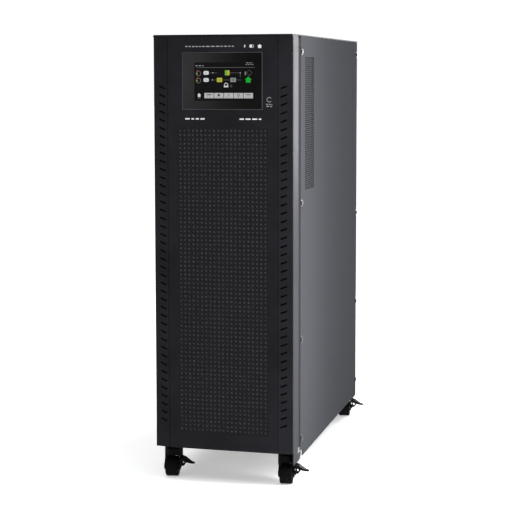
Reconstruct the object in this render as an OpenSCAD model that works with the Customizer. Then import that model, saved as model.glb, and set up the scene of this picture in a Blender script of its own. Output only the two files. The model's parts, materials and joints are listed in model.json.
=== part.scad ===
// Tower uninterruptible power supply on four braked swivel casters.
// Millimetres, +Z up, -Y is the front. The origin is on the floor, under the middle of the
// bounding box. Depths inside the modules are counted from the front face, see from_front().

/* [Case] */
// Width of the case
case_w = 250; // [200:1:350]
// Front face to the rear edge of the case
case_d = 600; // [400:1:900]
// Floor to the top of the case
case_top = 790; // [600:1:1000]
// Floor to the lower edge of the front bezel
face_bottom = 60; // [50:1:100]
// Floor to the lower edge of the hanging right side panel
skirt_bottom = 39; // [37:0.5:60]
// Floor to the lower end of the right corner trims
foot_bottom = 37.5; // [37:0.5:60]
// Thickness of the steel sheet
sheet = 1.5; // [1:0.1:3]
// How far the cable glands stick out behind the case
rear_out = 18; // [12:1:40]

/* [Front face] */
// Half width of the flat middle of the front
flat_half = 97.5; // [80:0.5:115]
// How far the slotted strips fall back at the outer edge
strip_back = 4; // [0:0.5:12]
// Thickness of the bezel
bezel_t = 3; // [2:0.5:5]
// Slots in each strip
slot_count = 42; // [10:1:60]
// Height of the lowest slot
slot_low = 109; // [70:1:200]
// Height of the highest slot
slot_high = 699; // [400:1:760]
// Columns of holes in the grille
hole_cols = 21; // [5:1:30]
// Rows of holes in the grille
hole_rows = 70; // [5:1:90]
// Distance between hole centres
hole_pitch = 7.67; // [5:0.01:12]
// Hole diameter
hole_d = 4; // [2:0.5:6]
// Height of the lowest row of holes
hole_low = 94.4; // [80:0.1:200]

/* [Display] */
// Width of the display glass
glass_w = 142; // [100:1:180]
// Height of the display glass
glass_h = 97; // [60:1:140]
// Height of the middle of the display
glass_z = 710; // [600:1:750]
// Width of the display module behind the glass
lcd_w = 120; // [80:1:140]
// Height of the display module behind the glass
lcd_h = 76; // [50:1:90]

/* [Sides] */
// Depth of the front corner trims
trim_d = 40; // [20:1:60]
// Front edge of the side panels
panel_front = 62; // [50:1:90]
// Front edge of the rear corner trims
rear_trim_front = 550; // [400:1:580]
// Rows in the side vent
vent_rows = 64; // [10:1:90]
// Length of a vent slot
vent_w = 76; // [40:1:120]
// Front end of the side vent
vent_front = 97.5; // [80:0.5:200]
// Height of the middle of the side vent
vent_z = 634; // [300:1:700]

/* [Casters] */
// Wheel diameter
wheel_d = 36; // [30:1:50]
// Wheel width
wheel_w = 23; // [14:1:30]
// Swivel axis to the wheel's axle, measured level
trail = 14; // [8:1:30]
// Swivel axis to the middle of the case
caster_x = 105.5; // [60:0.5:110]
// Front face to the front swivel axes
caster_front = 44; // [40:1:80]
// Front face to the rear swivel axes
caster_rear = 576; // [400:1:580]
// How far the casters are turned
caster_turn = 8; // [-180:1:180]

/* [Rear] */
// Size of the square fan frames
fan_size = 120; // [80:1:120]
// Depth of the fan frames
fan_depth = 38; // [25:1:38]
// Sideways place of the fans
fan_x = -44; // [-60:1:0]
// Heights of the two fans
fan_heights = [585, 715];
// Sideways places of the two breakers
breaker_places = [-70, -22];
// Height of the breakers
breaker_z = 462; // [420:1:500]
// Radius of the hole through a cable gland
gland_bore = 9; // [5:0.5:14]
// Sideways places of the cable glands
gland_places = [-62, -14, 34];
// Height of the cable glands
gland_z = 312; // [300:1:330]

/* [Hidden] */
$fn = 64;

half_w = case_w / 2;
front_y = -(case_d + rear_out) / 2;
panel_top = case_top - 2.5;
lip_z = case_top - 4;
pan_z = 57;
pan_t = 2;
shelf_z = 345;
rear_face = case_d - sheet;
rear_inside = rear_face - sheet;
rear_split_x = 22;
rear_split_z = 520;
seam = 0.15;
port_z = 711;
post_in = half_w - sheet - 18;
grille_w = (hole_cols - 1) * hole_pitch + 11;
grille_h = (hole_rows - 1) * hole_pitch + 11;
grille_z = hole_low + (hole_rows - 1) * hole_pitch / 2;
screw_y = 70;
rear_screw_y = 590;
screw_heights = [73, 251, 495, 761];
rear_screw_heights = [73, 242, 431, 762];
wheel_r = wheel_d / 2;
axle_r = 3;
crown_z = 44;
brake_pivot = [wheel_w / 2 + 7, 33];
brake_mid = -16;
brake_half = 8;
toggle_open = 25;
black = [0.07, 0.07, 0.08];
dark = [0.16, 0.16, 0.17];
grey = [0.45, 0.46, 0.48];
zinc = [0.7, 0.71, 0.73];
green = [0.1, 0.35, 0.2];

// Depths of the children are counted from the front face.
module from_front() {
  translate([0, front_y, 0]) children();
}

// Extrudes a shape drawn as [x, z] along Y, from depth y0 to y1.
module along_y(y0, y1) {
  translate([0, y1, 0]) rotate([90, 0, 0]) linear_extrude(y1 - y0) children();
}

// Extrudes a shape drawn as [y, z] along X, from x0 to x1.
module along_x(x0, x1) {
  translate([x0, 0, 0]) rotate([90, 0, 90]) linear_extrude(x1 - x0) children();
}

// A cylinder along X with its axis at [y, z].
module rod_x(x0, x1, y, z, r) {
  translate([x0, y, z]) rotate([0, 90, 0]) cylinder(h = x1 - x0, r = r);
}

// A cylinder along Y with its axis at [x, z].
module rod_y(y0, y1, x, z, r) {
  translate([x, y1, z]) rotate([90, 0, 0]) cylinder(h = y1 - y0, r = r);
}

// A flat slot with round ends, length along the first axis.
module slot_2d(length, height) {
  square([length - height, height], center = true);
  for (s = [-1, 1]) translate([s * (length - height) / 2, 0]) circle(d = height, $fn = 32);
}

// A rectangle with four round corners.
module round_rect(w, h, r) {
  square([w, h - 2 * r], center = true);
  square([w - 2 * r, h], center = true);
  for (x = [-1, 1], z = [-1, 1]) translate([x * (w / 2 - r), z * (h / 2 - r)]) circle(r);
}

// ---------- front ----------

// Half of the bezel's cross-section, as [x, y].
module bezel_half() {
  polygon([
    [0, 0], [flat_half, 0], [flat_half + 0.8, 1.2], [flat_half + 2, 1.2],
    [flat_half + 2.5, 0.4], [half_w, strip_back], [half_w, strip_back + bezel_t],
    [half_w - 4.5, strip_back + bezel_t], [half_w - 4.5, 26], [half_w - 7, 26],
    [half_w - 7, strip_back + bezel_t - 0.8], [flat_half + 2.5, bezel_t + 0.4], [0, bezel_t]
  ]);
}

// The slanted slots of both strips; they rise outwards.
module strip_slots() {
  step = (slot_high - slot_low) / (slot_count - 1);
  for (side = [-1, 1], k = [0:slot_count - 1])
    translate([side * (half_w - 15.8), 0, slot_low + k * step])
      along_y(-1, 9) rotate(side * 21) slot_2d(12.5, 3);
}

module front_bezel() {
  color(black) from_front() difference() {
    union() {
      translate([0, 0, face_bottom]) linear_extrude(lip_z - face_bottom) {
        bezel_half();
        mirror([1, 0]) bezel_half();
      }
      translate([-half_w, 1, lip_z]) cube([case_w, 44, 3]);
      translate([-half_w + 1, 2, lip_z + 3]) cube([case_w - 2, 43, 1]);
      translate([-half_w + 7, bezel_t, face_bottom]) cube([case_w - 14, 12, 2]);
    }
    strip_slots();
    along_y(-1, sheet) translate([0, grille_z]) square([grille_w, grille_h], center = true);
    along_y(-1, 9) translate([0, grille_z]) square([grille_w - 5, grille_h - 5], center = true);
    along_y(-1, 2.4) translate([0, glass_z]) round_rect(glass_w, glass_h, 1.5);
    along_y(-1, 9) translate([0, glass_z]) square([lcd_w, lcd_h], center = true);
    for (s = [-1, 1]) {
      translate([s * glass_w / 2, 0, glass_z])
        rotate([0, 0, 45]) cube([1.2, 1.2, glass_h + 1], center = true);
      translate([0, 0, glass_z + s * glass_h / 2])
        rotate([45, 0, 0]) cube([glass_w + 1, 1.2, 1.2], center = true);
    }
  }
}

module perforated_grille() {
  color(black) from_front() along_y(0, sheet) difference() {
    translate([0, grille_z]) square([grille_w, grille_h], center = true);
    for (c = [0:hole_cols - 1], r = [0:hole_rows - 1])
      translate([(c - (hole_cols - 1) / 2) * hole_pitch, hole_low + r * hole_pitch])
        circle(d = hole_d, $fn = 24);
  }
}

module dust_filter() {
  color([0.3, 0.3, 0.31]) from_front()
    translate([-grille_w / 2 - 3, bezel_t + 0.5, grille_z - grille_h / 2 - 3])
      cube([grille_w + 6, 6, grille_h + 6]);
}

// Thin dark screens behind the slots of the front strips and behind the side vents.
module dust_screens() {
  vent_h = vent_rows * 3.7;
  color(black) from_front() for (s = [0, 1]) mirror([s, 0, 0]) {
    translate([flat_half + 3, 8, slot_low - 9]) cube([17, 1, slot_high - slot_low + 22]);
    translate([half_w - 4, vent_front - 5, vent_z - vent_h / 2 - 6]) cube([1, vent_w + 10, vent_h + 12]);
  }
}

module display_glass() {
  color([0.02, 0.02, 0.03]) from_front()
    along_y(0.4, 2.4) translate([0, glass_z]) round_rect(glass_w - 0.6, glass_h - 0.6, 1.2);
}

module lcd_module() {
  color(dark) from_front() {
    along_y(2.4, 3.6) translate([0, glass_z]) square([lcd_w - 1, lcd_h - 1], center = true);
    along_y(3.6, 10) translate([0, glass_z]) square([lcd_w + 16, lcd_h + 16], center = true);
    for (k = [-1, 0, 1]) translate([k * 36 - 9, 10, glass_z - 12]) cube([18, 5, 24]);
  }
}

// ---------- corner trims ----------

// Cross-section of a right front trim, as [x, y]: a shallow channel with round edges.
module front_trim_2d() {
  y0 = strip_back + bezel_t;
  depth = 4.3;
  r = 3;
  difference() {
    union() {
      translate([half_w - depth, y0]) square([depth - r, trim_d]);
      translate([half_w - depth, y0 + r]) square([depth, trim_d - 2 * r]);
      for (y = [y0 + r, y0 + trim_d - r]) translate([half_w - r, y]) intersection() {
        circle(r);
        translate([0, -r]) square([r, 2 * r]);
      }
    }
    translate([half_w - depth - 1, y0 + sheet]) square([depth + 1 - sheet, trim_d - 2 * sheet]);
  }
}

module front_trim(low) {
  translate([0, 0, low]) linear_extrude(lip_z - low) front_trim_2d();
}

module trim_front_left() {
  color(grey) from_front() mirror([1, 0, 0]) front_trim(face_bottom);
}

// The right trim hangs below the case and widens into a foot with a round lower corner.
module trim_front_right() {
  y0 = strip_back + bezel_t + 3;
  y1 = panel_front + 4;
  r = 12;
  color(grey) from_front() {
    front_trim(face_bottom);
    along_x(half_w - sheet, half_w) {
      translate([y0, foot_bottom + r]) square([trim_d - 6, face_bottom - foot_bottom - r]);
      translate([y0, foot_bottom]) square([y1 - r - y0, r]);
      intersection() {
        translate([y1 - r, foot_bottom + r]) circle(r);
        translate([y1 - r, foot_bottom]) square(r);
      }
    }
  }
}

// Cross-section of a right rear trim, as [x, y]: a corner angle with a round bend.
module rear_trim_2d() {
  r = 4;
  difference() {
    union() {
      translate([half_w - 20, case_d - r]) square([20 - r, r]);
      translate([half_w - r, rear_trim_front]) square([r, case_d - rear_trim_front - r]);
      translate([half_w - r, case_d - r]) circle(r);
    }
    translate([0, 0]) square([half_w - sheet, case_d - r]);
    translate([0, case_d - r]) square([half_w - r, r - sheet]);
    translate([half_w - r, case_d - r]) circle(r - sheet);
  }
}

module rear_trim(low) {
  translate([0, 0, low]) linear_extrude(panel_top - low) rear_trim_2d();
}

module trim_rear_left() {
  color(grey) from_front() mirror([1, 0, 0]) difference() {
    rear_trim(face_bottom);
    for (z = rear_screw_heights) rod_x(half_w - 3, half_w + 1, rear_screw_y, z, 2.2);
  }
}

module trim_rear_right() {
  r = 12;
  color(grey) from_front() difference() {
    rear_trim(foot_bottom);
    for (z = rear_screw_heights) rod_x(half_w - 3, half_w + 1, rear_screw_y, z, 2.2);
    along_x(half_w - 30, half_w + 1) difference() {
      translate([case_d - r, foot_bottom - 1]) square([r + 1, r + 1]);
      translate([case_d - r, foot_bottom + r]) circle(r);
    }
  }
}

// ---------- sides, top, rear, base ----------

// A right side panel from height low, with its vent and its front screw holes.
module side_panel(low) {
  step = 3.7;
  along_x(half_w - sheet, half_w) difference() {
    translate([panel_front, low]) square([rear_trim_front - 1 - panel_front, panel_top - low]);
    for (k = [0:vent_rows - 1])
      translate([vent_front + vent_w / 2, vent_z + (k - (vent_rows - 1) / 2) * step])
        slot_2d(vent_w, 1.8);
    for (z = screw_heights) translate([screw_y, z]) circle(2.2);
    translate([panel_front - 1, skirt_bottom - 1]) square([19, foot_bottom + 15 - skirt_bottom]);
  }
}

module side_panel_left() {
  color(grey) from_front() mirror([1, 0, 0]) side_panel(face_bottom);
}

module side_panel_right() {
  color(grey) from_front() side_panel(skirt_bottom);
}

module top_cover() {
  color(dark) from_front() {
    translate([-half_w, 45.5, case_top - 2]) cube([case_w, case_d - 45.5, 2]);
    for (s = [-1, 1])
      translate([s * (half_w - 2.5) - 0.75, 80, case_top - 18]) cube([1.5, 480, 16]);
  }
}

// The three sheets of the rear, drawn as [x, z] between two corners, with a seam around each.
module rear_sheet(x0, z0, x1, z1) {
  color(grey) from_front() along_y(rear_inside, rear_face) difference() {
    translate([x0 + seam, z0 + seam]) square([x1 - x0 - 2 * seam, z1 - z0 - 2 * seam]);
    children();
  }
}

module rear_panel() {
  rear_sheet(-half_w + 4, pan_z + 3, half_w - 4, rear_split_z) {
    for (x = breaker_places) translate([x, breaker_z]) square([37, 46], center = true);
    for (x = gland_places) translate([x, gland_z]) circle(12.5);
    translate([0, 400]) square([150, 34], center = true);
    translate([92, gland_z]) circle(3.3);
    for (k = [0:11], s = [-1, 1]) translate([s * 48, 105 + k * 14]) slot_2d(80, 4);
  }
}

module fan_panel() {
  rear_sheet(-half_w + 4, rear_split_z, rear_split_x, case_top - 4)
    for (z = fan_heights) translate([fan_x, z]) {
      circle(fan_size / 2 - 4);
      for (x = [-1, 1], y = [-1, 1]) translate([x * 52.5, y * 52.5]) circle(2.2);
    }
}

module interface_panel() {
  rear_sheet(rear_split_x, rear_split_z, half_w - 4, case_top - 4)
    translate([63, port_z]) square([66, 18], center = true);
}

module base_pan() {
  color(zinc) from_front() difference() {
    union() {
      translate([-half_w + 3.5, 20, pan_z]) cube([case_w - 7, 576, pan_t]);
      for (y = [20, 594]) translate([-post_in + 6, y, pan_z + pan_t]) cube([2 * post_in - 12, 2, 14]);
      for (s = [-1, 1])
        translate([s * (half_w - 4.5) - 1, 80, pan_z + pan_t]) cube([2, 480, 14]);
    }
    for (x = [-1, 1], y = [caster_front, caster_rear])
      translate([x * caster_x, y, pan_z - 1]) cylinder(h = 4, r = 5);
  }
}

module mid_shelf() {
  color(zinc) from_front() {
    translate([-half_w + 6, 80, shelf_z]) cube([case_w - 12, 480, 2]);
    for (s = [-1, 1]) translate([s * (half_w - 7) - 1, 80, shelf_z - 14]) cube([2, 480, 14]);
  }
}

// A channel post standing on the base pan, its web against the side panel.
module post(y0, depth) {
  translate([post_in, y0, pan_z + pan_t]) difference() {
    cube([18, depth, lip_z - 1 - pan_z - pan_t]);
    translate([-1, 2, -1]) cube([17, depth - 4, lip_z]);
  }
}

// The screw holes of a post, with their axes at depth y.
module post_holes(y, heights) {
  for (z = heights) rod_x(half_w - 8, half_w + 1, y, z, 2);
}

module front_posts() {
  color(grey) from_front() for (s = [0, 1]) mirror([s, 0, 0]) difference() {
    post(48, 28);
    post_holes(screw_y, screw_heights);
    translate([caster_x, caster_front, pan_z]) cylinder(h = 24, r = 12);
  }
}

module rear_posts() {
  color(grey) from_front() for (s = [0, 1]) mirror([s, 0, 0]) difference() {
    post(rear_trim_front + 18, 28);
    post_holes(rear_screw_y, rear_screw_heights);
    translate([caster_x, caster_rear, pan_z]) cylinder(h = 24, r = 12);
  }
}

// A pan-head screw along X with its head's underside at x.
module side_screw(x, y, z) {
  difference() {
    union() {
      rod_x(x - 7, x, y, z, 2);
      rod_x(x, x + 1.6, y, z, 4.2);
      rod_x(x + 1.6, x + 2.4, y, z, 3.2);
    }
    for (a = [0, 90]) translate([x + 2, y, z]) rotate([a, 0, 0]) cube([2, 4, 0.9], center = true);
  }
}

module panel_screws() {
  color(dark) from_front() for (s = [0, 1]) mirror([s, 0, 0]) {
    for (z = screw_heights) side_screw(half_w, screw_y, z);
    for (z = rear_screw_heights) side_screw(half_w, rear_screw_y, z);
  }
}

module caster_nuts() {
  color(zinc) from_front() for (x = [-1, 1], y = [caster_front, caster_rear])
    translate([x * caster_x, y, pan_z + pan_t]) difference() {
      cylinder(h = 8, r = 9, $fn = 6);
      translate([0, 0, -1]) cylinder(h = 10, r = 5);
    }
}

// ---------- inside ----------

battery = [151, 65, 94];
tray_floors = [59, 187];

module battery_trays() {
  color(zinc) from_front() for (z = tray_floors) translate([-80, 58, z]) difference() {
    cube([160, 530, 128]);
    translate([2, -1, 1.5]) cube([156, 532, 128]);
    translate([-1, 20, 60]) cube([162, 490, 54]);
  }
}

module batteries() {
  color(dark) from_front() for (z = tray_floors, k = [0:7])
    translate([-battery[0] / 2, 59 + k * 66, z + 1.5]) {
      cube(battery);
      for (x = [8, battery[0] - 14]) translate([x, 8, battery[2]]) cube([6, 1, 7]);
    }
}

module power_board() {
  color(green) from_front() {
    translate([-100, 90, 360]) cube([200, 440, 2]);
    for (x = [-90, 90], y = [100, 300, 520]) translate([x, y, 347]) cylinder(h = 13, r = 4);
  }
}

module heatsinks() {
  color(zinc) from_front() for (x = [-95, -40]) translate([x, 300, 362]) {
    cube([46, 220, 8]);
    for (k = [0:5]) translate([k * 8.8, 0, 8]) cube([2, 220, 60]);
  }
}

module bus_capacitors() {
  color(black) from_front() for (x = [-78, -36], k = [0:3])
    translate([x, 118 + k * 42, 362]) cylinder(h = 55, r = 18);
}

module inductors() {
  color([0.55, 0.3, 0.12]) from_front() for (k = [0:3]) translate([62, 150 + k * 95, 362]) {
    cylinder(h = 3, r = 37);
    rotate_extrude() translate([24, 14]) circle(13);
  }
}

module control_board() {
  color(green) from_front() {
    translate([10, 100, 420]) cube([94, 400, 2]);
    for (x = [16, 98], y = [106, 494]) translate([x, y, 362]) cylinder(h = 59, r = 3);
    for (k = [0:3]) translate([28, 130 + k * 80, 422]) cube([26, 26, 4]);
    translate([84, 150, 422]) cube([12, 260, 10]);
  }
}

// ---------- rear ----------

fan_front = rear_inside - fan_depth;

module fan_frames() {
  bore = fan_size / 2 - 3;
  color(black) from_front() for (z = fan_heights) difference() {
    union() {
      along_y(fan_front, rear_inside) translate([fan_x, z]) difference() {
        round_rect(fan_size, fan_size, 6);
        circle(bore);
      }
      along_y(fan_front, fan_front + 4) translate([fan_x, z]) {
        circle(21);
        intersection() {
          circle(bore + 1);
          for (a = [45, 135]) rotate(a) square([fan_size, 5], center = true);
        }
      }
      rod_y(fan_front + 4, fan_front + 28, fan_x, z, 2);
    }
    for (x = [-52.5, 52.5], y = [-52.5, 52.5]) rod_y(fan_front - 1, case_d, fan_x + x, z + y, 2.2);
  }
}

// A seven-bladed rotor on its shaft, with its middle at height z.
module fan_rotor(z) {
  y0 = fan_front + 4.6;
  difference() {
    union() {
      rod_y(y0, y0 + 26, fan_x, z, 22);
      intersection() {
        rod_y(y0 + 1, y0 + 25, fan_x, z, fan_size / 2 - 4.5);
        for (k = [0:6]) translate([fan_x, y0 + 13, z]) rotate([0, k * 360 / 7, 0])
          translate([0, 0, 38]) rotate([0, 0, 38]) cube([2, 34, 44], center = true);
      }
    }
    rod_y(y0 - 1, y0 + 24, fan_x, z, 2.05);
  }
}

module fan_rotor_lower() {
  color(dark) from_front() fan_rotor(fan_heights[0]);
}

module fan_rotor_upper() {
  color(dark) from_front() fan_rotor(fan_heights[1]);
}

module fan_guards() {
  wire = 1.1;
  color(zinc) from_front() for (z = fan_heights) translate([fan_x, rear_face + 2.4, z]) {
    for (r = [12, 22, 32, 42, 52]) rotate([90, 0, 0]) rotate_extrude() translate([r, 0]) circle(wire);
    for (a = [45, 135, 225, 315]) rotate([0, a, 0]) translate([0, -0.9, 10]) cylinder(h = 67, r = wire);
    for (x = [-52.5, 52.5], y = [-52.5, 52.5]) rod_y(-2.4, -1, x, y, 5);
  }
}

toggle_y = rear_face + 1;

module breakers() {
  color(dark) from_front() for (x = breaker_places) difference() {
    union() {
      translate([x - 18, 535, breaker_z - 42]) cube([36, rear_inside - 535, 84]);
      translate([x - 18, rear_inside, breaker_z - 22.5]) cube([36, 7, 45]);
    }
    rod_x(x - 13, x + 13, toggle_y, breaker_z, 8.5);
    translate([x - 13, toggle_y, breaker_z - 14]) cube([26, 10, 28]);
  }
}

// The tied handle of a two-pole breaker, up in the on position.
module breaker_toggle(x) {
  translate([x, toggle_y, breaker_z]) rotate([toggle_open, 0, 0]) {
    rod_x(-12.5, 12.5, 0, 0, 8);
    translate([-12, 4, -2.5]) cube([24, 12, 5]);
  }
}

module breaker_toggle_input() {
  color(black) from_front() breaker_toggle(breaker_places[0]);
}

module breaker_toggle_bypass() {
  color(black) from_front() breaker_toggle(breaker_places[1]);
}

module terminal_block() {
  color(dark) from_front() difference() {
    translate([-72, 575, 385]) cube([144, 28, 30]);
    for (k = [0:6]) translate([-69 + k * 20, 590, 388]) cube([16, 14, 24]);
  }
}

// A sheet hood over the terminals, open at the bottom for the cables.
module terminal_cover() {
  color(grey) from_front() difference() {
    translate([-88, rear_face, 376]) cube([176, 15, 50]);
    translate([-84, rear_face - 1, 375]) cube([168, 14.5, 47]);
  }
}

module cable_glands() {
  color(black) from_front() for (x = gland_places) difference() {
    union() {
      rod_y(rear_inside - 8, rear_inside, x, gland_z, 16);
      rod_y(rear_inside, rear_face, x, gland_z, 12.4);
      along_y(rear_face, rear_face + 7) translate([x, gland_z]) circle(17, $fn = 6);
      rod_y(rear_face + 7, case_d + rear_out, x, gland_z, 14);
    }
    rod_y(rear_inside - 9, case_d + rear_out + 1, x, gland_z, gland_bore);
  }
}

// A socket open to the rear: its body fills the panel's cut-out from x0 over a width w.
module socket(x0, w, inner_w, inner_h) {
  difference() {
    union() {
      translate([x0, rear_face - 14, port_z - 10.7]) cube([w, 14 - sheet, 21.4]);
      translate([x0, rear_face - 14, port_z - 8.7]) cube([w, 15, 17.4]);
    }
    translate([x0 + (w - inner_w) / 2, rear_face - 12, port_z - inner_h / 2])
      cube([inner_w, 14, inner_h]);
  }
}

// The communication ports: a USB socket, two network sockets and a serial connector.
module ports() {
  color(dark) from_front() {
    socket(30.3, 19.4, 12, 11);
    for (x = [50, 73]) socket(x, 22.7, 14, 12);
    along_y(rear_face, rear_face + 1) translate([64, 750]) round_rect(38, 13, 2);
    along_y(rear_face + 1, rear_face + 7) translate([64, 750]) difference() {
      round_rect(20, 10, 3);
      round_rect(17, 7, 2);
    }
    along_y(rear_face + 1, rear_face + 6) translate([64, 750]) round_rect(16, 6, 2);
    for (s = [-1, 1]) rod_y(rear_face + 1, rear_face + 5, 64 + s * 14, 750, 2.5);
  }
}

module slot_cover() {
  color(grey) from_front() {
    translate([27, rear_face, 654]) cube([74, sheet, 28]);
    for (x = [32, 96]) rod_y(rear_face + sheet, rear_face + 7, x, 668, 3.5);
  }
}

module earth_stud() {
  color([0.75, 0.6, 0.25]) from_front() {
    along_y(rear_inside - 5, rear_inside) translate([92, gland_z]) circle(6, $fn = 6);
    rod_y(rear_inside, rear_face + 14, 92, gland_z, 3);
  }
}

// ---------- casters ----------

// The swivel axes: side, depth from the front, and turn.
CORNERS = [
  [-1, caster_front, caster_turn], [1, caster_front, caster_turn],
  [-1, caster_rear, caster_turn + 180], [1, caster_rear, caster_turn]
];

// Puts a caster part at corner k. Its own origin is the swivel axis at the floor, and the wheel
// stands in front of that axis.
module corner(k) {
  from_front() translate([CORNERS[k][0] * caster_x, CORNERS[k][1], 0])
    rotate([0, 0, CORNERS[k][2]]) children();
}

// Fixed to the base pan: collar, threaded stem and the king pin with its head.
module caster_stem() {
  color(zinc) {
    translate([0, 0, pan_z - 3]) cylinder(h = 3, r = 11);
    cylinder_between(pan_z, pan_z + 14, 4.9);
    cylinder_between(crown_z - 1, pan_z - 3, 4);
    cylinder_between(crown_z - 3.4, crown_z - 1, 7);
  }
}

module cylinder_between(z0, z1, r) {
  translate([0, 0, z0]) cylinder(h = z1 - z0, r = r);
}

// The swivelling fork: a domed crown that reaches down to the wheel, two legs, and the bracket
// with the brake's pin. A pocket under the crown holds the king pin's head.
module caster_fork() {
  leg_in = wheel_w / 2 + 0.8;
  leg_out = leg_in + 2.2;
  ear = brake_half + 0.4;
  ear_low = brake_pivot[1] - 2.4;
  color(black) difference() {
    union() {
      rotate_extrude() {
        translate([0, 31]) square([16.4, crown_z - 27]);
        translate([0, crown_z]) square([12.4, 9]);
        translate([12.4, crown_z + 4]) intersection() {
          circle(4);
          square(4.5);
        }
      }
      for (x = [-leg_out, leg_in]) along_x(x, x + 2.2) {
        polygon([[-9.5, crown_z], [9.5, crown_z], [5, 28], [-8, 15.4], [-20, 21.6], [-10.5, 34]]);
        translate([-trail, wheel_r]) circle(7);
      }
      translate([leg_out - 0.1, brake_mid - ear - 3, ear_low]) cube([1.3, 2 * ear + 6, 4.8]);
      for (y = [brake_mid - ear - 3, brake_mid + ear]) along_y(y, y + 3) {
        translate([leg_out, ear_low]) square([brake_pivot[0] - leg_out, 4.8]);
        translate(brake_pivot) circle(2.4);
      }
      rod_y(brake_mid - ear, brake_mid + ear, brake_pivot[0], brake_pivot[1], 1.2);
    }
    cylinder_between(crown_z - 1, crown_z + 10, 4.05);
    cylinder_between(30, crown_z, 8.5);
    rod_x(-leg_in, leg_in, -trail, wheel_r, wheel_r + 1.2);
    rod_x(-20, 20, -trail, wheel_r, axle_r);
  }
}

module caster_axle() {
  x1 = wheel_w / 2 + 3;
  color(zinc) {
    rod_x(-x1, x1, -trail, wheel_r, axle_r);
    for (x = [-x1 - 1, x1]) rod_x(x, x + 1, -trail, wheel_r, 4.5);
  }
}

module caster_wheel() {
  edge = 3;
  color(dark) translate([0, -trail, wheel_r]) rotate([0, 90, 0]) rotate_extrude() difference() {
    union() {
      translate([0, -wheel_w / 2]) square([wheel_r - edge, wheel_w]);
      translate([0, -wheel_w / 2 + edge]) square([wheel_r, wheel_w - 2 * edge]);
      for (s = [-1, 1]) translate([wheel_r - edge, s * (wheel_w / 2 - edge)]) circle(edge);
    }
    translate([-1, -wheel_w]) square([1 + axle_r + 0.05, 2 * wheel_w]);
    for (s = [-1, 1]) translate([7, s * wheel_w / 2 - 1]) square([6, 2]);
  }
}

// The brake lever: barrel on its pin, loop, foot tab that narrows outwards, and the pad that
// meets the wheel's side. Its outline is drawn as [x, z] from the middle of the pin.
module caster_brake() {
  tip = 22;
  color(black) {
    translate([brake_pivot[0], brake_mid, brake_pivot[1]]) difference() {
      intersection() {
        along_y(-brake_half, brake_half) {
          circle(2.4);
          polygon([[-1.6, -3], [-1.9, -8.5], [-0.4, -12.2], [2.6, -12.8], [5.2, -10], [7.3, -6],
            [12, -7.4], [17, -8.7], [tip, -9], [tip, -7.6], [16, -6], [9, -1.6], [4.6, 1.8], [0.5, 2.3]]);
        }
        translate([0, 0, -20]) linear_extrude(30)
          polygon([[-5, -brake_half], [8, -brake_half], [tip, -3.5], [tip, 3.5], [8, brake_half],
            [-5, brake_half]]);
      }
      rod_y(-20, 20, 0, 0, 1.25);
      along_y(-20, 20) translate([1.8, -7.6]) rotate(90) slot_2d(8, 3.6);
    }
    translate([brake_pivot[0] - 4.7, brake_mid - brake_half - 3.5, 19]) cube([4.2, 5.5, 7]);
  }
}

module caster_stems() {
  for (k = [0:3]) corner(k) caster_stem();
}

module caster_fork_fl() { corner(0) caster_fork(); }
module caster_fork_fr() { corner(1) caster_fork(); }
module caster_fork_rl() { corner(2) caster_fork(); }
module caster_fork_rr() { corner(3) caster_fork(); }
module caster_axle_fl() { corner(0) caster_axle(); }
module caster_axle_fr() { corner(1) caster_axle(); }
module caster_axle_rl() { corner(2) caster_axle(); }
module caster_axle_rr() { corner(3) caster_axle(); }
module caster_wheel_fl() { corner(0) caster_wheel(); }
module caster_wheel_fr() { corner(1) caster_wheel(); }
module caster_wheel_rl() { corner(2) caster_wheel(); }
module caster_wheel_rr() { corner(3) caster_wheel(); }
module caster_brake_fl() { corner(0) caster_brake(); }
module caster_brake_fr() { corner(1) caster_brake(); }
module caster_brake_rl() { corner(2) caster_brake(); }
module caster_brake_rr() { corner(3) caster_brake(); }

front_bezel();
perforated_grille();
dust_filter();
dust_screens();
display_glass();
lcd_module();
trim_front_left();
trim_front_right();
trim_rear_left();
trim_rear_right();
side_panel_left();
side_panel_right();
top_cover();
rear_panel();
fan_panel();
interface_panel();
base_pan();
mid_shelf();
front_posts();
rear_posts();
panel_screws();
caster_nuts();
battery_trays();
batteries();
power_board();
heatsinks();
bus_capacitors();
inductors();
control_board();
fan_frames();
fan_rotor_lower();
fan_rotor_upper();
fan_guards();
breakers();
breaker_toggle_input();
breaker_toggle_bypass();
terminal_block();
terminal_cover();
cable_glands();
ports();
slot_cover();
earth_stud();
caster_stems();
caster_fork_fl();
caster_axle_fl();
caster_wheel_fl();
caster_brake_fl();
caster_fork_fr();
caster_axle_fr();
caster_wheel_fr();
caster_brake_fr();
caster_fork_rl();
caster_axle_rl();
caster_wheel_rl();
caster_brake_rl();
caster_fork_rr();
caster_axle_rr();
caster_wheel_rr();
caster_brake_rr();
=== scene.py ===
"""Looks of a tower uninterruptible power supply: finishes, signs, display picture, light, camera.

Metres, +Z up, the front faces -Y and the floor is at Z = 0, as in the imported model.
"""

import json
import math
import random

import bmesh
import bpy
from mathutils import Matrix, Vector


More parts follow.
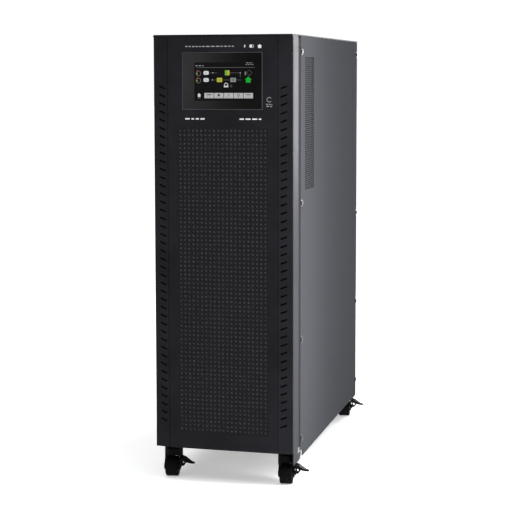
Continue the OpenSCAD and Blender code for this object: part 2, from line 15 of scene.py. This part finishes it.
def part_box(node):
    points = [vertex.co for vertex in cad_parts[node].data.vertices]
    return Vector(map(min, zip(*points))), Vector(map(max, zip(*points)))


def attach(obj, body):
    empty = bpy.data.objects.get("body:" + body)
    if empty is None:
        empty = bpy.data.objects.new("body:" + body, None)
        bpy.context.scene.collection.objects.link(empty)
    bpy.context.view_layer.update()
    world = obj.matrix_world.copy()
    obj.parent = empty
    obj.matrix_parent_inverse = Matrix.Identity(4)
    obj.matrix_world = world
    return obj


MM = 0.001
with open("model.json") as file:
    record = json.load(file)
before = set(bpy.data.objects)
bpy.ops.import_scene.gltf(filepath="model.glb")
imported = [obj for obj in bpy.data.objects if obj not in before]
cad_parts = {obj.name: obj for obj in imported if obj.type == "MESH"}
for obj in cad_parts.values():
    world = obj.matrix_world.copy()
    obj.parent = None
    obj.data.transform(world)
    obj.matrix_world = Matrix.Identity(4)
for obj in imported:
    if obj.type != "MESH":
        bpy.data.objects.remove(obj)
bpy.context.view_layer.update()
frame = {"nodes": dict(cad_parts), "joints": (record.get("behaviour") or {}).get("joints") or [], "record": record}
nodes = frame["nodes"]
random.seed(4)

glass_low, glass_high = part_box("display_glass")
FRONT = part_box("front_bezel")[0].y
GLASS_FRONT = glass_low.y


# ---------- finishes ----------


class Finish:
    """A Principled material; its patterns are measured in metres in the piece's own space."""

    def __init__(self, name, **sockets):
        self.material = bpy.data.materials.new(name)
        self.material.use_nodes = True
        self.tree = self.material.node_tree
        self.shader = self.tree.nodes["Principled BSDF"]
        for socket, value in sockets.items():
            self.shader.inputs[socket.replace("_", " ")].default_value = value
        self.position = self.add("ShaderNodeTexCoord").outputs["Object"]
        self.normal = None

    def add(self, kind, **settings):
        node = self.tree.nodes.new(kind)
        for key, value in settings.items():
            setattr(node, key, value)
        return node

    def link(self, source, target):
        self.tree.links.new(source, target)

    def stretched(self, squeeze):
        mapping = self.add("ShaderNodeMapping")
        mapping.inputs["Scale"].default_value = squeeze
        self.link(self.position, mapping.inputs["Vector"])
        return mapping.outputs["Vector"]

    def noise(self, per_metre, detail=2.0, squeeze=(1, 1, 1)):
        texture = self.add("ShaderNodeTexNoise")
        texture.inputs["Scale"].default_value = per_metre
        texture.inputs["Detail"].default_value = detail
        self.link(self.stretched(squeeze), texture.inputs["Vector"])
        return texture.outputs["Fac"]

    def cells(self, per_metre, squeeze=(1, 1, 1), output="Distance"):
        texture = self.add("ShaderNodeTexVoronoi")
        texture.inputs["Scale"].default_value = per_metre
        self.link(self.stretched(squeeze), texture.inputs["Vector"])
        return texture.outputs[output]

    def waves(self, per_metre, axis, distortion=0.0):
        texture = self.add("ShaderNodeTexWave", bands_direction=axis)
        texture.inputs["Scale"].default_value = per_metre
        texture.inputs["Distortion"].default_value = distortion
        self.link(self.position, texture.inputs["Vector"])
        return texture.outputs["Fac"]

    def ramp(self, value, stops):
        node = self.add("ShaderNodeValToRGB")
        elements = node.color_ramp.elements
        while len(elements) < len(stops):
            elements.new(0.5)
        for element, (place, colour) in zip(elements, stops):
            element.position = place
            element.color = (*colour, 1) if len(colour) == 3 else colour
        self.link(value, node.inputs["Fac"])
        return node.outputs["Color"]

    def colour(self, value, *stops):
        self.link(self.ramp(value, stops), self.shader.inputs["Base Color"])

    def roughness(self, value, low, high):
        span = self.add("ShaderNodeMapRange")
        span.inputs["To Min"].default_value = low
        span.inputs["To Max"].default_value = high
        self.link(value, span.inputs["Value"])
        self.link(span.outputs["Result"], self.shader.inputs["Roughness"])

    def bump(self, value, depth, strength=1.0):
        node = self.add("ShaderNodeBump")
        node.inputs["Distance"].default_value = depth
        node.inputs["Strength"].default_value = strength
        self.link(value, node.inputs["Height"])
        if self.normal is not None:
            self.link(self.normal, node.inputs["Normal"])
        self.normal = node.outputs["Normal"]
        self.link(self.normal, self.shader.inputs["Normal"])

    def soft_edges(self, radius):
        node = self.add("ShaderNodeBevel", samples=4)
        node.inputs["Radius"].default_value = radius
        self.normal = node.outputs["Normal"]
        self.link(self.normal, self.shader.inputs["Normal"])
        return self


def shade(colour, factor):
    return tuple(min(1.0, c * factor) for c in colour)


def moulded(name, colour, rough=(0.38, 0.52), grain=2200, **sockets):
    """Injection-moulded plastic with a fine spark-eroded grain."""
    finish = Finish(name, **sockets).soft_edges(0.4 * MM)
    cloud = finish.noise(18, 3)
    finish.colour(cloud, (0.3, shade(colour, 0.85)), (0.7, shade(colour, 1.2)))
    finish.roughness(finish.noise(60, 3), *rough)
    finish.bump(finish.noise(grain, 2), 0.05 * MM, 0.35)
    return finish.material


def powder_coat(name, colour, rough=(0.42, 0.55), grain=1100, **sockets):
    """Textured powder coat on sheet steel: a fine orange peel with paler high spots."""
    finish = Finish(name, **sockets).soft_edges(0.5 * MM)
    peel = finish.noise(grain, 3)
    finish.colour(peel, (0.35, shade(colour, 0.86)), (0.55, colour), (0.72, shade(colour, 1.22)))
    finish.roughness(finish.noise(35, 4), *rough)
    finish.bump(peel, 0.08 * MM, 0.4)
    finish.bump(finish.noise(7, 1), 1.0 * MM, 0.12)
    return finish.material


def zinc_plate(name, colour=(0.55, 0.56, 0.58)):
    finish = Finish(name, Metallic=1.0).soft_edges(0.3 * MM)
    spangle = finish.cells(90, output="Color")
    finish.colour(spangle, (0.0, shade(colour, 0.75)), (1.0, shade(colour, 1.15)))
    finish.roughness(finish.noise(120, 3), 0.28, 0.46)
    finish.bump(finish.noise(900, 2), 0.03 * MM, 0.3)
    return finish.material


def brushed(name, colour, squeeze, rough=(0.25, 0.4)):
    finish = Finish(name, Metallic=1.0)
    lines = finish.noise(500, 2, squeeze)
    finish.colour(lines, (0.3, shade(colour, 0.82)), (0.7, shade(colour, 1.1)))
    finish.roughness(lines, *rough)
    finish.bump(lines, 0.02 * MM, 0.4)
    return finish.material


def plated(name, colour, rough):
    """Smooth plating with small stains."""
    finish = Finish(name, Metallic=0.9).soft_edges(0.2 * MM)
    finish.colour(finish.noise(700, 2), (0.3, shade(colour, 0.7)), (0.7, colour))
    finish.roughness(finish.noise(300, 2), *rough)
    return finish.material


def foam(name, colour):
    finish = Finish(name, Roughness=0.95, Specular_IOR_Level=0.1)
    pores = finish.cells(900)
    finish.colour(pores, (0.0, shade(colour, 0.45)), (0.6, colour))
    finish.bump(pores, 0.4 * MM, 0.8)
    return finish.material


def polished(name, colour, rough=(0.04, 0.1), **sockets):
    finish = Finish(name, **sockets).soft_edges(0.3 * MM)
    finish.colour(finish.noise(12, 2), (0.2, shade(colour, 0.8)), (0.8, shade(colour, 1.2)))
    finish.roughness(finish.noise(45, 4), *rough)
    return finish.material


def rubber(name, colour):
    finish = Finish(name, Specular_IOR_Level=0.06)
    finish.colour(finish.noise(140, 4), (0.3, shade(colour, 0.6)), (0.75, shade(colour, 1.5)))
    finish.roughness(finish.noise(200, 3), 0.62, 0.85)
    finish.bump(finish.noise(1500, 2), 0.08 * MM, 0.5)
    return finish.material


def circuit_board(name):
    finish = Finish(name, Coat_Weight=0.4, Coat_Roughness=0.15)
    tracks = finish.cells(160, output="Color")
    finish.colour(tracks, (0.0, (0.008, 0.06, 0.025)), (0.5, (0.014, 0.10, 0.045)),
                  (1.0, (0.03, 0.16, 0.07)))
    finish.roughness(finish.noise(90, 2), 0.3, 0.45)
    finish.bump(tracks, 0.05 * MM, 0.5)
    return finish.material


def winding(name):
    finish = Finish(name, Metallic=0.9)
    turns = finish.waves(140, "X", 1.5)
    finish.colour(turns, (0.0, (0.16, 0.05, 0.02)), (1.0, (0.62, 0.26, 0.10)))
    finish.roughness(turns, 0.2, 0.4)
    finish.bump(turns, 1.0 * MM, 0.8)
    return finish.material


def lit(name, colour, strength):
    """A lit part of the display: fine rows of light over a dark base."""
    finish = Finish(name, Roughness=0.25, Specular_IOR_Level=0.03, Emission_Strength=strength)
    finish.colour(finish.noise(200, 1), (0.0, shade(colour, 0.15)), (1.0, shade(colour, 0.25)))
    rows = finish.ramp(finish.waves(900, "Z"), [(0.0, shade(colour, 0.8)), (1.0, colour)])
    finish.link(rows, finish.shader.inputs["Emission Color"])
    return finish.material


def ink(name, colour):
    """Screen-printed ink, slightly uneven."""
    finish = Finish(name)
    finish.colour(finish.noise(900, 3), (0.2, shade(colour, 0.82)), (0.7, colour))
    finish.roughness(finish.noise(400, 2), 0.45, 0.6)
    return finish.material


BLACK = (0.0155, 0.0150, 0.0176)
GREY_TRIM = (0.031, 0.0318, 0.0345)
GREY_SIDE = (0.047, 0.049, 0.054)
DARK_PLASTIC = (0.03, 0.03, 0.034)
ALUMINIUM = (0.62, 0.63, 0.65)
EVENLY = (1, 1, 1)
LOOKS = {}


def look(make, name, *values, **sockets):
    LOOKS[name] = make(name, *values, **sockets)


look(moulded, "bezel_plastic", BLACK, Specular_IOR_Level=0.01)
look(powder_coat, "grille_steel", BLACK, Specular_IOR_Level=0.01)
look(foam, "filter_foam", (0.26, 0.26, 0.28))
look(foam, "screen_foam", (0.019, 0.019, 0.021))
look(polished, "display_glass", (0.0016, 0.0016, 0.002), rough=(0.1, 0.16), Specular_IOR_Level=0.08)
look(moulded, "display_module", DARK_PLASTIC)
look(powder_coat, "corner_trim", GREY_TRIM, rough=(0.42, 0.5), grain=1600, Specular_IOR_Level=0.01)
look(powder_coat, "side_paint", GREY_SIDE, Specular_IOR_Level=0.0)
look(powder_coat, "top_paint", (0.024, 0.024, 0.027), Specular_IOR_Level=0.01)
look(powder_coat, "rear_paint", (0.12, 0.123, 0.132), Specular_IOR_Level=0.25)
look(zinc_plate, "zinc_steel")
look(powder_coat, "frame_paint", (0.038, 0.038, 0.042), Specular_IOR_Level=0.0)
look(plated, "screw_steel", (0.13, 0.13, 0.14), (0.45, 0.55))
look(plated, "stem_steel", (0.03, 0.03, 0.033), (0.35, 0.5))
look(moulded, "battery_case", DARK_PLASTIC)
look(circuit_board, "circuit_board")
look(brushed, "heatsink_aluminium", ALUMINIUM, (1, 0.03, 1))
look(polished, "capacitor_sleeve", (0.012, 0.012, 0.02), rough=(0.2, 0.3))
look(winding, "enamel_winding")
look(moulded, "fan_plastic", (0.016, 0.016, 0.018), rough=(0.45, 0.6))
look(brushed, "guard_wire", (0.45, 0.45, 0.46), EVENLY, rough=(0.25, 0.35))
look(moulded, "breaker_plastic", (0.06, 0.06, 0.065))
look(polished, "toggle_plastic", (0.01, 0.01, 0.012), rough=(0.15, 0.25))
look(moulded, "terminal_plastic", (0.04, 0.04, 0.044))
look(moulded, "gland_nylon", (0.014, 0.014, 0.016), rough=(0.4, 0.6))
look(brushed, "earth_brass", (0.50, 0.34, 0.13), (1, 0.05, 1))
look(moulded, "caster_plastic", (0.002, 0.002, 0.0023), rough=(0.4, 0.55), Specular_IOR_Level=0.05)
look(rubber, "tread_rubber", (0.0025, 0.0025, 0.0028))

for part in frame["record"]["subparts"]:
    slots = nodes[part["node"]].data.materials
    slots.clear()
    slots.append(LOOKS[part["material_slot"]])

# The posts show in the grooves beside the corner trims, so they are painted.
for name in ("front_posts", "rear_posts"):
    nodes[name].data.materials[0] = LOOKS["frame_paint"]


# ---------- flat shapes for signs and the display picture ----------


def rect(x, z, w, h):
    return [(x - w / 2, z - h / 2), (x + w / 2, z - h / 2), (x + w / 2, z + h / 2), (x - w / 2, z + h / 2)]


def arc(x, z, r, start, end, steps=16):
    angles = [math.radians(start + (end - start) * k / steps) for k in range(steps + 1)]
    return [(x + r * math.cos(a), z + r * math.sin(a)) for a in angles]


def disc(x, z, r, steps=32):
    return arc(x, z, r, 0, 360 - 360 / steps, steps - 1)


def pill(x, z, w, h, r=None):
    r = h / 2 if r is None else r
    corners = [(1, -1, -90), (1, 1, 0), (-1, 1, 90), (-1, -1, 180)]
    points = []
    for sx, sz, start in corners:
        points += arc(x + sx * (w / 2 - r), z + sz * (h / 2 - r), r, start, start + 90, 6)
    return points


def ring(x, z, r, width, start=0, end=360, steps=40):
    """A ring or part of one, as a chain of four-cornered pieces."""
    outer = arc(x, z, r, start, end, steps)
    inner = arc(x, z, r - width, start, end, steps)
    return [[outer[k], outer[k + 1], inner[k + 1], inner[k]][::-1] for k in range(steps)]


def stroke(x0, z0, x1, z1, width):
    along = Vector((x1 - x0, z1 - z0)).normalized() * (width / 2)
    side = (-along.y, along.x)
    ends = [(x0, z0, -1), (x1, z1, -1), (x1, z1, 1), (x0, z0, 1)]
    return [(x + s * side[0], z + s * side[1]) for x, z, s in ends]


def house(x, z, w, h):
    return [(x - w * 0.34, z - h / 2), (x + w * 0.34, z - h / 2), (x + w * 0.34, z), (x + w / 2, z),
            (x, z + h / 2), (x - w / 2, z), (x - w * 0.34, z)]


def bolt(x, z, h):
    points = [(0.10, 0.5), (-0.24, -0.06), (-0.03, -0.06), (-0.12, -0.5), (0.24, 0.12), (0.03, 0.12)]
    return [(x + px * h, z + pz * h) for px, pz in points]


def dashes(x0, x1, z, h, mean):
    """A row of plain dashes of uneven length that stands where a line of small print would be."""
    shapes = []
    x = x0
    while x < x1:
        w = min(mean * random.uniform(0.6, 1.4), x1 - x)
        if w > h:
            shapes.append(pill(x + w / 2, z, w, h, h * 0.45))
        x += w + h * 1.1
    return shapes


def plates(name, shapes, front, thickness, material, body="case"):
    """Thin plates from outlines drawn in millimetres as (x, z), with their faces at depth front."""
    mesh = bmesh.new()
    for shape in shapes:
        faces = [mesh.verts.new((x * MM, y, z * MM)) for y in (front, front + thickness) for x, z in shape]
        n = len(shape)
        mesh.faces.new(faces[:n])
        mesh.faces.new(faces[n:][::-1])
        for k in range(n):
            nxt = (k + 1) % n
            mesh.faces.new((faces[nxt], faces[k], faces[n + k], faces[n + nxt]))
    bmesh.ops.recalc_face_normals(mesh, faces=mesh.faces)
    data = bpy.data.meshes.new(name)
    mesh.to_mesh(data)
    mesh.free()
    data.materials.append(material)
    piece = bpy.data.objects.new(name, data)
    bpy.context.scene.collection.objects.link(piece)
    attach(piece, body)


# ---------- signs printed on the front ----------

INK = 0.03 * MM


def printed(name, shapes, material):
    plates(name, shapes, FRONT - INK, INK * 1.5, material)


white_ink = ink("white_ink", (0.82, 0.82, 0.84))
grey_ink = ink("grey_ink", (0.34, 0.34, 0.35))
# Heights of the signs over the display and of the bars under it; centre of the ring mark
SIGN_Z = 769.5
NAME_Z = 644.5
RING_X = 84
RING_Z = 678
printed("title_dashes", dashes(-66, 23, SIGN_Z, 1.7, 5.5), grey_ink)
printed("sign_power", [bolt(40.7, SIGN_Z, 7.5)], white_ink)
printed("sign_battery", [pill(51.4, SIGN_Z, 4.2, 5.0, 0.8), rect(54.6, SIGN_Z + 2.2, 2.6, 0.6),
                         rect(54.6, SIGN_Z - 2.2, 2.6, 0.6), rect(56.2, SIGN_Z, 0.7, 3.6)], white_ink)
printed("sign_load", [house(67.1, SIGN_Z, 8.2, 6.6)], white_ink)
printed("ring_mark", ring(RING_X, RING_Z, 4.4, 0.9, 35, 325), grey_ink)
ring_dashes = dashes(RING_X - 5.5, RING_X + 5.5, RING_Z - 8, 1.6, 4)
ring_dashes += dashes(RING_X - 5, RING_X + 5, RING_Z - 11.4, 1.6, 4)
printed("ring_mark_dashes", ring_dashes, grey_ink)
printed("name_bar_left", dashes(-67, -29, NAME_Z, 2.4, 7), white_ink)
printed("name_bar_right", dashes(31, 70, NAME_Z, 2.4, 7), white_ink)


# ---------- the picture on the display ----------

SHOW = 0.03 * MM


def shown(name, shapes, material, layer=1):
    plates(name, shapes, GLASS_FRONT - SHOW * layer, SHOW * (layer + 0.5), material)


lit_black = lit("lit_black", (0.006, 0.006, 0.007), 0.3)
lit_line = lit("lit_line", (0.12, 0.125, 0.13), 0.6)
lit_white = lit("lit_white", (0.74, 0.76, 0.76), 0.7)
lit_key = lit("lit_key", (0.50, 0.51, 0.51), 0.75)
lit_grey = lit("lit_grey", (0.30, 0.31, 0.33), 0.7)
lit_dark = lit("lit_dark", (0.07, 0.07, 0.075), 0.6)
lit_dim = lit("lit_dim", (0.12, 0.10, 0.095), 0.7)
lit_green = lit("lit_green", (0.01, 0.40, 0.03), 0.8)
lit_lime = lit("lit_lime", (0.20, 0.45, 0.06), 0.7)
lit_yellow = lit("lit_yellow", (0.60, 0.52, 0.05), 0.7)
lit_red = lit("lit_red", (0.28, 0.06, 0.05), 0.6)

# The picture's centre, width, lower edge and height; heights of its two rows and of its keys
SCREEN_X = 4.0
SCREEN_W = 108
SCREEN_LOW = 676
SCREEN_H = 66
ROW_UPPER = 724
ROW_LOWER = 711.8
BAR_Z = 684.8
ROWS = (ROW_UPPER, ROW_LOWER)

shown("screen_ground", [rect(SCREEN_X, SCREEN_LOW + SCREEN_H / 2, SCREEN_W, SCREEN_H)], lit_black, 0.5)
shown("screen_header", [rect(SCREEN_X + 2, 733.2, 104, 0.9)], lit_line)
title = dashes(-48, -33, 736.4, 1.5, 4)
clock = dashes(42, 56, 738.2, 1.2, 3) + dashes(43, 54, 741, 1.2, 3)
shown("screen_title", title + clock, lit_grey)

shown("screen_inputs", [piece for z in ROWS for piece in ring(-42.5, z - 1, 4.8, 1.4)], lit_dim)
shown("screen_input_marks", [bolt(-45, z - 1.5, 6.5) for z in ROWS], lit_lime, 1.5)
shown("screen_input_lamps", [disc(-44.5, z + 3.2, 1.6) for z in ROWS], lit_red, 1.5)
shown("screen_switches", [pill(-28.6, z, 9.6, 6.6, 2.4) for z in ROWS], lit_white)
shown("screen_switch_marks", [stroke(-31, z + 1.2, -26.4, z - 1.6, 0.9) for z in ROWS], lit_grey, 1.5)
shown("screen_rectifier", [pill(8.2, ROW_UPPER, 6.2, 8.8, 0.8)], lit_lime)
shown("screen_rectifier_half", [rect(11.6, ROW_UPPER, 3.4, 8.2)], lit_yellow, 1.5)
shown("screen_charger", [pill(-4.6, ROW_LOWER, 9.6, 7.4, 0.8)], lit_yellow)
charger_cross = [rect(-4.6, ROW_LOWER, 1.2, 6.2), rect(-4.6, ROW_LOWER, 8.4, 0.9)]
shown("screen_charger_lines", charger_cross, lit_lime, 1.5)
shown("screen_inverter", [pill(19.8, ROW_LOWER, 10, 7.4, 0.8)], lit_grey)
inverter_cross = [rect(19.8, ROW_LOWER, 1.0, 6.2), rect(19.8, ROW_LOWER, 8.8, 0.8)]
shown("screen_inverter_lines", inverter_cross, lit_dark, 1.5)
shown("screen_load", [house(46.8, ROW_LOWER + 0.6, 12.4, 10.4)], lit_green)
shown("screen_load_box", ring(48.6, ROW_UPPER, 5.4, 0.8, steps=4), lit_dim)
shown("screen_load_mark", [rect(41.6, ROW_UPPER - 1, 1.8, 6)], lit_grey)
shown("screen_battery", ring(7.2, 703.2, 3.7, 1.1) + [pill(7.2, 700.6, 8.2, 2.8, 1.2)], lit_white)
shown("screen_battery_note", dashes(14, 20, 702.6, 1.3, 3) + dashes(14.5, 19, 700.2, 1.2, 3), lit_dim)
flow = [rect(-15, ROW_UPPER, 12, 0.7), rect(-15, ROW_LOWER, 7, 0.7), rect(22, ROW_UPPER, 17, 0.7),
        rect(32.5, ROW_UPPER - 4, 0.8, 8), rect(30, ROW_LOWER, 9, 0.7), rect(7.8, ROW_LOWER, 12, 0.7)]
shown("screen_flow", flow, lit_line)
heads = [disc(-16.5, ROW_UPPER, 1.2), disc(-17.5, ROW_LOWER, 1.2), disc(32.5, ROW_UPPER, 1.2)]
shown("screen_flow_heads", heads, lit_grey, 1.5)
shown("screen_home", [house(-41.4, BAR_Z + 1, 6.8, 6.6)], lit_white)
shown("screen_home_foot", [rect(-41.4, BAR_Z - 4, 4.4, 0.8)], lit_grey)

KEY_W = 17.6
KEY_H = 9.2
keys = [-32.4 + KEY_W * (k + 0.5) for k in range(5)]
shown("screen_keys", [rect(x, BAR_Z, KEY_W - 1.0, KEY_H) for x in keys], lit_key)
marks = [rect(keys[0], BAR_Z + 1.4, 9, 1.5), disc(keys[1], BAR_Z + 0.9, 2.2)]
marks += [bolt(keys[2], BAR_Z + 0.6, 5.5)] + ring(keys[3], BAR_Z + 0.8, 2.4, 0.9)
marks += [rect(keys[4], BAR_Z + 1.6, 8, 1.3)]
shown("screen_key_marks", marks, lit_dark, 1.5)
labels = [dash for x in keys for dash in dashes(x - 5, x + 5, BAR_Z - 2.9, 1.1, 3)]
shown("screen_key_labels", labels, lit_grey, 1.5)


# ---------- lip round the display glass ----------


def solid(name, corners, faces, material, body="case"):
    """A closed mesh from corners in millimetres."""
    data = bpy.data.meshes.new(name)
    data.from_pydata([Vector(corner) * MM for corner in corners], [], faces)
    data.materials.append(material)
    piece = bpy.data.objects.new(name, data)
    bpy.context.scene.collection.objects.link(piece)
    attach(piece, body)


def gasket(name, low, high, material):
    """A raised lip round the glass that slopes outwards; its section is (out, depth) in mm."""
    middle = (low + high) / 2 / MM
    half = (high - low) / 2 / MM
    section = [(1.5, -0.02), (0.5, -0.35), (0.1, -0.35), (0.1, 0.3), (0.9, 0.3), (1.0, 0.02)]
    corners = []
    for sx, sz in ((-1, -1), (1, -1), (1, 1), (-1, 1)):
        for out, depth in section:
            x = middle.x + sx * (half.x + out)
            z = middle.z + sz * (half.z + out)
            corners.append((x, FRONT / MM + depth, z))
    faces = []
    n = len(section)
    for k in range(4):
        here, there = n * k, n * ((k + 1) % 4)
        for j in range(n):
            nxt = (j + 1) % n
            faces.append((here + j, here + nxt, there + nxt, there + j))
    solid(name, corners, faces, material)


lip_rubber = moulded("gasket_rubber", (0.045, 0.045, 0.048), rough=(0.3, 0.4), Specular_IOR_Level=0.15)
gasket("display_gasket", glass_low, glass_high, lip_rubber)


# ---------- cup washers under the side screws ----------


def lathe(name, places, axis, profile, material, body="case", steps=32):
    """A ring at each place, turned from a closed profile of (radius, height) in millimetres."""
    turn = Vector((0, 0, 1)).rotation_difference(Vector(axis))
    corners, faces = [], []
    n = len(profile)
    for place in places:
        first = len(corners)
        for k in range(steps):
            a = math.tau * k / steps
            for radius, height in profile:
                point = Vector((radius * math.cos(a), radius * math.sin(a), height))
                corners.append(turn @ point + Vector(place))
        for k in range(steps):
            for j in range(n):
                here, there = first + k * n, first + (k + 1) % steps * n
                faces.append((here + j, there + j, there + (j + 1) % n, here + (j + 1) % n))
    solid(name, corners, faces, material, body)


# Half the width of the case, the depth and height of each screw, the profile of a washer
SIDE = 125
SCREWS = [(70, z) for z in (73, 251, 495, 761)] + [(590, z) for z in (73, 242, 431, 762)]
CUP = [(4.3, 0.05), (6.6, 0.05), (6.2, 0.6), (5.2, 1.0), (4.3, 0.7)]
dark_washer = plated("dark_washer", (0.018, 0.018, 0.02), (0.3, 0.45))
for name, side in (("washers_left", -1), ("washers_right", 1)):
    places = [(side * SIDE, FRONT / MM + depth, z) for depth, z in SCREWS]
    lathe(name, places, (side, 0, 0), CUP, dark_washer)


# ---------- signs printed on the rear ----------

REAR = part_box("rear_panel")[1].y


def printed_behind(name, shapes, material):
    plates(name, shapes, REAR - INK / 2, INK * 1.5, material)


def dash_rows(x, z, rows, w, h=1.4):
    return [dash for k in range(rows) for dash in dashes(x - w / 2, x + w / 2, z - k * 2.2 * h, h, 4)]


# Places of the sockets, breakers, glands and earth stud in the CAD, and of the rating label
SOCKETS = (40, 61.3, 84.3)
BREAKERS = (-70, -22)
GLANDS = (-62, -14, 34)
EARTH_X = 92
LABEL_X = 63
LABEL_Z = 595

pale_ink = ink("pale_ink", (0.46, 0.46, 0.47))
port_signs = [dash for x in SOCKETS for dash in dash_rows(x, 727, 1, 12)]
port_signs += dash_rows(64, 764, 1, 24)
printed_behind("port_signs", port_signs, pale_ink)
breaker_signs = []
for x in BREAKERS:
    breaker_signs += dash_rows(x, 500, 2, 26) + ring(x + 22, 454, 2.2, 0.7) + [rect(x + 22, 470, 0.8, 4.4)]
printed_behind("breaker_signs", breaker_signs, pale_ink)
gland_signs = [dash for x in GLANDS for dash in dash_rows(x, 340, 2, 24)]
earth_sign = [rect(EARTH_X, 330 - 2.2 * k, 9 - 3 * k, 0.8) for k in range(3)]
earth_sign += [rect(EARTH_X, 332.4, 0.8, 4)]
printed_behind("gland_signs", gland_signs + earth_sign, pale_ink)
label_paper = ink("label_paper", (0.38, 0.38, 0.38))
label_ink = ink("label_ink", (0.03, 0.03, 0.032))
label = pill(LABEL_X, LABEL_Z, 74, 48, 2)
plates("rating_label", [label], REAR, 0.1 * MM, label_paper)
rows = dash_rows(LABEL_X - 10, LABEL_Z + 16, 10, 44) + dash_rows(LABEL_X + 25, LABEL_Z + 16, 4, 16)
rows += ring(LABEL_X + 25, LABEL_Z - 6, 6, 1.2)
plates("rating_label_print", rows, REAR + 0.1 * MM, INK, label_ink)


# ---------- wheels: rubber tread on a plastic hub ----------

HUB_RADIUS = 13.4 * MM
for corner in ("fl", "fr", "rl", "rr"):
    wheel = nodes["caster_wheel_" + corner]
    wheel.data.materials.append(LOOKS["caster_plastic"])
    joint = next(j for j in frame["joints"] if j["name"] == "roll_" + corner)
    hub = Vector(joint["pos_m"])
    axle = Vector(joint["axis"]).normalized()
    for face in wheel.data.polygons:
        arm = face.center - hub
        radial = (arm - axle * arm.dot(axle)).length
        if radial < HUB_RADIUS:
            face.material_index = 1


# ---------- floor, light, camera ----------


def plane(name, size, material):
    mesh = bmesh.new()
    bmesh.ops.create_grid(mesh, x_segments=1, y_segments=1, size=size / 2)
    data = bpy.data.meshes.new(name)
    mesh.to_mesh(data)
    mesh.free()
    data.materials.append(material)
    piece = bpy.data.objects.new(name, data)
    bpy.context.scene.collection.objects.link(piece)
    return piece


floor_finish = Finish("floor_finish", Roughness=0.9, Specular_IOR_Level=0.1, Emission_Strength=0.4)
floor_finish.shader.inputs["Emission Color"].default_value = (1, 1, 1, 1)
floor_finish.colour(floor_finish.noise(2, 1), (0.2, (0.86, 0.86, 0.865)), (0.8, (0.885, 0.885, 0.89)))
floor = plane("floor", 60, floor_finish.material)


def area_light(name, place, target, width, height, power):
    data = bpy.data.lights.new(name, "AREA")
    data.shape = "RECTANGLE"
    data.size = width
    data.size_y = height
    data.energy = power
    lamp = bpy.data.objects.new(name, data)
    bpy.context.scene.collection.objects.link(lamp)
    lamp.location = place
    lamp.visible_camera = False
    lamp.rotation_euler = (Vector(target) - Vector(place)).to_track_quat("-Z", "Y").to_euler()


sun = bpy.data.lights.new("ceiling", "SUN")
sun.energy = 1.8
sun.angle = math.radians(75)
ceiling = bpy.data.objects.new("ceiling", sun)
bpy.context.scene.collection.objects.link(ceiling)
area_light("right_front", (0.40, -0.30, 0.52), (0.125, -0.2, 0.52), 0.12, 1.05, 5.3)
area_light("right_rear", (1.0, 2.2, 0.84), (0.125, -0.28, 0.75), 0.6, 0.9, 58)
area_light("left_front", (-1.15, -3.3, 1.0), (0, -0.3, 0.7), 0.5, 0.9, 7.5)

world = bpy.data.worlds.new("studio")
world.use_nodes = True
bpy.context.scene.world = world
sky = world.node_tree.nodes["Background"]
sky.inputs["Color"].default_value = (0.97, 0.98, 1.0, 1)
seen = world.node_tree.nodes.new("ShaderNodeLightPath")
level = world.node_tree.nodes.new("ShaderNodeMapRange")
level.inputs["To Min"].default_value = 0.38
level.inputs["To Max"].default_value = 1.05
world.node_tree.links.new(seen.outputs["Is Camera Ray"], level.inputs["Value"])
world.node_tree.links.new(level.outputs["Result"], sky.inputs["Strength"])

camera_data = bpy.data.cameras.new("camera")
camera_data.lens = 101.7
camera_data.sensor_width = 36
camera_data.shift_y = -0.0996
camera_data.clip_end = 100
camera = bpy.data.objects.new("camera", camera_data)
bpy.context.scene.collection.objects.link(camera)
YAW, PITCH, ROLL = math.radians(14.55), math.radians(-5.12), math.radians(-0.094)
forward = Vector((-math.sin(YAW) * math.cos(PITCH), math.cos(YAW) * math.cos(PITCH), math.sin(PITCH)))
camera.location = (0.6857, FRONT - 2.4098, 0.7195)
aim = forward.to_track_quat("-Z", "Y").to_matrix() @ Matrix.Rotation(ROLL, 3, "Z")
camera.rotation_euler = aim.to_euler()
bpy.context.scene.camera = camera
bpy.context.scene.view_settings.view_transform = "Standard"
